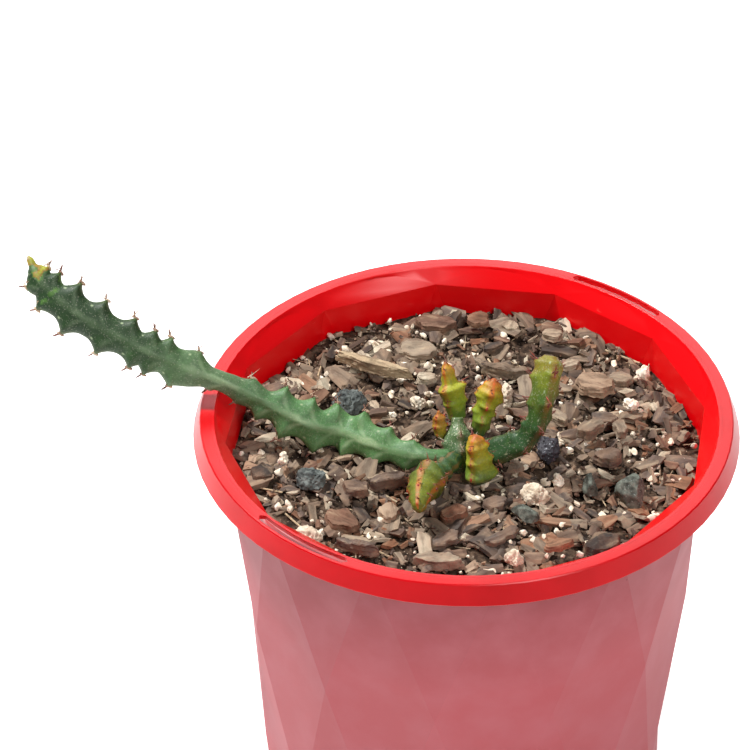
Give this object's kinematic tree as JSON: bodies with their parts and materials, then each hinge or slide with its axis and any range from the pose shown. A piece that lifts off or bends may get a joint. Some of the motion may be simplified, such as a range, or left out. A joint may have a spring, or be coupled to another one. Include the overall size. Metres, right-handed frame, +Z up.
{
  "type": "potted euphorbia",
  "caption": "Red faceted plastic nursery pot of bark potting mix holding a small angled spurge, with a long toothed stem trailing over the rim and short young shoots at the crown.",
  "frame": {"origin": "centre of the pot's flat underside, on the surface it stands on", "axes": "+Z up along the pot's axis, +X away from the trailing stem, which runs out over the rim towards -X, +Y to the back"},
  "size_m": [0.1822, 0.14, 0.1533],
  "materials": {
    "pot_plastic": "semi-gloss moulded polypropylene, deep red, greyed pink haze on the outer wall",
    "potting_mix": "loose fine bark, grit and fibre, dry and matt",
    "crown_skin": "blue-green corky succulent skin",
    "old_stem_skin": "waxy dark green skin with pale lines along the ridges",
    "young_stem_skin": "waxy yellow-green skin, orange at the tip",
    "spine": "dry red-brown thorn, paler when old",
    "pine_bark": "weathered flaky pine bark, grey to orange-brown",
    "dry_wood": "pale split wood fibre",
    "scoria": "rough bubbly grey volcanic stone",
    "charcoal": "black-grey porous charcoal",
    "dark_stone": "dark green-grey river stone with pale veins",
    "pumice": "cream crumbly pumice",
    "perlite": "white expanded perlite grain"
  },
  "bodies": {
    "root": {"back_left_shoot": "young_stem_skin", "back_right_shoot": "young_stem_skin", "bark_01": "pine_bark", "bark_02": "pine_bark", "bark_03": "pine_bark", "bark_04": "pine_bark", "bark_05": "pine_bark", "bark_06": "pine_bark", "bark_07": "pine_bark", "bark_08": "pine_bark", "bark_09": "pine_bark", "bark_10": "pine_bark", "bark_11": "pine_bark", "bark_12": "pine_bark", "bark_13": "pine_bark", "bark_14": "pine_bark", "bark_15": "pine_bark", "bark_16": "pine_bark", "bark_17": "pine_bark", "bark_18": "pine_bark", "bark_19": "pine_bark", "bark_20": "pine_bark", "bark_21": "pine_bark", "bark_22": "pine_bark", "bark_23": "pine_bark", "bark_24": "pine_bark", "bark_25": "pine_bark", "bark_26": "pine_bark", "bark_27": "pine_bark", "bark_28": "pine_bark", "bark_29": "pine_bark", "bark_30": "pine_bark", "bark_31": "pine_bark", "centre_shoot": "young_stem_skin", "charcoal_01": "charcoal", "crown": "crown_skin", "dark_stone_01": "dark_stone", "dark_stone_02": "dark_stone", "dark_stone_03": "dark_stone", "front_shoot": "young_stem_skin", "perlite_01": "perlite", "perlite_02": "perlite", "perlite_03": "perlite", "perlite_04": "perlite", "perlite_05": "perlite", "pot": "pot_plastic", "potting_mix": "potting_mix", "pumice_01": "pumice", "pumice_02": "pumice", "pumice_03": "pumice", "pumice_04": "pumice", "right_branch": "old_stem_skin", "scoria_01": "scoria", "scoria_02": "scoria", "small_bud": "young_stem_skin", "splinter_01": "dry_wood", "trailing_stem": "old_stem_skin"}
  },
  "joints": []
}
